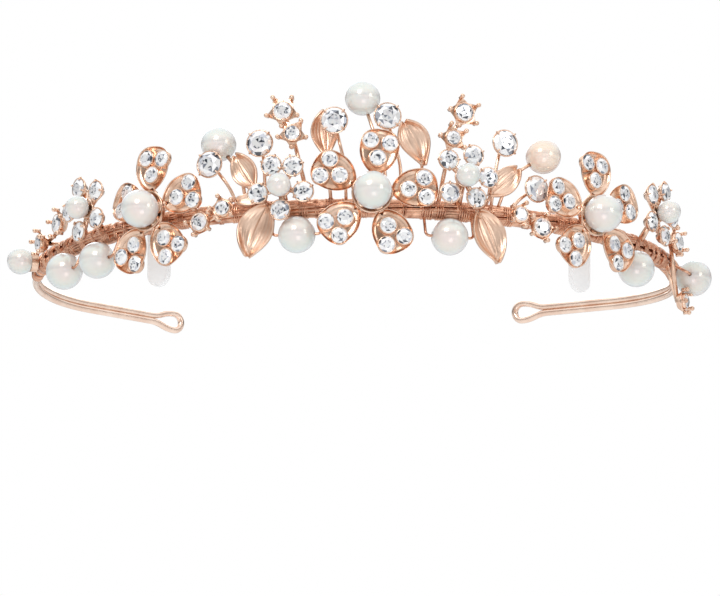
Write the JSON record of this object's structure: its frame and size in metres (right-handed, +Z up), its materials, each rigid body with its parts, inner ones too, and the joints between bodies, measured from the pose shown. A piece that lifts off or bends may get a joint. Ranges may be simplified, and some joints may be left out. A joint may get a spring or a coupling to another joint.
{
  "type": "bridal tiara",
  "caption": "Rose gold wire tiara: a bound double-wire band with two springy looped arms, jewelled flowers, pearl clusters, leaves, stars and pearls that turn.",
  "frame": {"origin": "centre of the ring that the band follows, at mid height of the wire", "axes": "+Z up, the decorated front toward -Y, the arms pointing back toward +Y, +X to the viewer's right"},
  "size_m": [0.15, 0.1148, 0.0397],
  "materials": {
    "rose_gold": "polished plating",
    "ivory_pearl": "pearlescent",
    "peach_pearl": "pearlescent",
    "crystal": "faceted",
    "clear_tab": "frosted"
  },
  "bodies": {
    "band": {"band_front": "rose_gold", "binding_wire": "rose_gold", "centre_flower_casting": "rose_gold", "centre_flower_crystals": "crystal", "centre_flower_pearl": "ivory_pearl", "crystal_stems": "rose_gold", "end_wraps": "rose_gold", "front_pearl_wires": "rose_gold", "grip_tabs": "clear_tab", "left_end_cup": "rose_gold", "left_end_pearl": "ivory_pearl", "left_flower_casting": "rose_gold", "left_flower_crystals": "crystal", "left_flower_pearl": "ivory_pearl", "left_front_cluster_casting": "rose_gold", "left_front_cluster_crystals": "crystal", "left_front_cluster_pearl": "ivory_pearl", "left_pearl_wires": "rose_gold", "left_side_cluster_casting": "rose_gold", "left_side_cluster_crystals": "crystal", "left_side_cluster_pearl": "ivory_pearl", "left_side_sprig": "rose_gold", "left_stem_pearl": "ivory_pearl", "lower_left_leaf": "rose_gold", "lower_right_leaf": "rose_gold", "mid_left_sprig": "rose_gold", "mid_right_sprig": "rose_gold", "pearl_stems": "rose_gold", "right_flower_casting": "rose_gold", "right_flower_crystals": "crystal", "right_flower_pearl": "ivory_pearl", "right_front_cluster_casting": "rose_gold", "right_front_cluster_crystals": "crystal", "right_front_cluster_pearl": "ivory_pearl", "right_pearl_wires": "rose_gold", "right_side_cluster_casting": "rose_gold", "right_side_cluster_crystals": "crystal", "right_side_cluster_pearl": "ivory_pearl", "right_side_sprig": "rose_gold", "right_stem_pearl": "peach_pearl", "slim_leaf": "rose_gold", "small_left_leaf": "rose_gold", "small_right_leaf": "rose_gold", "sprig_crystals": "crystal", "stem_crystals": "crystal", "top_left_sprig": "rose_gold", "top_pearl": "ivory_pearl", "top_right_sprig": "rose_gold", "upper_left_leaf": "rose_gold", "upper_right_leaf": "rose_gold"},
    "left_arm": {"left_arm_wire": "rose_gold"},
    "right_arm": {"right_arm_wire": "rose_gold"},
    "lower_left_pearl_body": {"lower_left_pearl": "ivory_pearl"},
    "lower_right_pearl_body": {"lower_right_pearl": "ivory_pearl"},
    "left_side_inner_pearl_body": {"left_side_inner_pearl": "ivory_pearl"},
    "left_side_outer_pearl_body": {"left_side_outer_pearl": "ivory_pearl"},
    "right_side_inner_pearl_body": {"right_side_inner_pearl": "ivory_pearl"},
    "right_side_outer_pearl_body": {"right_side_outer_pearl": "ivory_pearl"}
  },
  "joints": [
    {"name": "left_arm_flex", "type": "hinge", "parent": "band", "child": "left_arm", "pos_m": [-0.0685, 0, 0], "axis": [0, 0, 1], "range_deg": [-5, 12], "stiffness_Nm_per_rad": 0.4},
    {"name": "right_arm_flex", "type": "hinge", "parent": "band", "child": "right_arm", "pos_m": [0.0685, 0, 0], "axis": [0, 0, -1], "range_deg": [-5, 12], "stiffness_Nm_per_rad": 0.4},
    {"name": "lower_left_pearl_spin", "type": "hinge", "parent": "band", "child": "lower_left_pearl_body", "pos_m": [-0.0156, -0.06865, -0.0059], "axis": [0.9751, -0.2215, 0], "continuous": true},
    {"name": "lower_right_pearl_spin", "type": "hinge", "parent": "band", "child": "lower_right_pearl_body", "pos_m": [0.01634, -0.06858, -0.006], "axis": [0.9728, 0.2317, 0], "continuous": true},
    {"name": "left_side_inner_pearl_spin", "type": "hinge", "parent": "band", "child": "left_side_inner_pearl_body", "pos_m": [-0.05648, -0.04318, -0.0059], "axis": [0.6074, -0.7944, 0], "continuous": true},
    {"name": "left_side_outer_pearl_spin", "type": "hinge", "parent": "band", "child": "left_side_outer_pearl_body", "pos_m": [-0.06318, -0.03261, -0.0059], "axis": [0.4587, -0.8886, 0], "continuous": true},
    {"name": "right_side_inner_pearl_spin", "type": "hinge", "parent": "band", "child": "right_side_inner_pearl_body", "pos_m": [0.05723, -0.04219, -0.0062], "axis": [0.5934, 0.8049, 0], "continuous": true},
    {"name": "right_side_outer_pearl_spin", "type": "hinge", "parent": "band", "child": "right_side_outer_pearl_body", "pos_m": [0.07105, -0.01957, -0.0028], "axis": [0.2656, 0.9641, 0], "continuous": true}
  ]
}
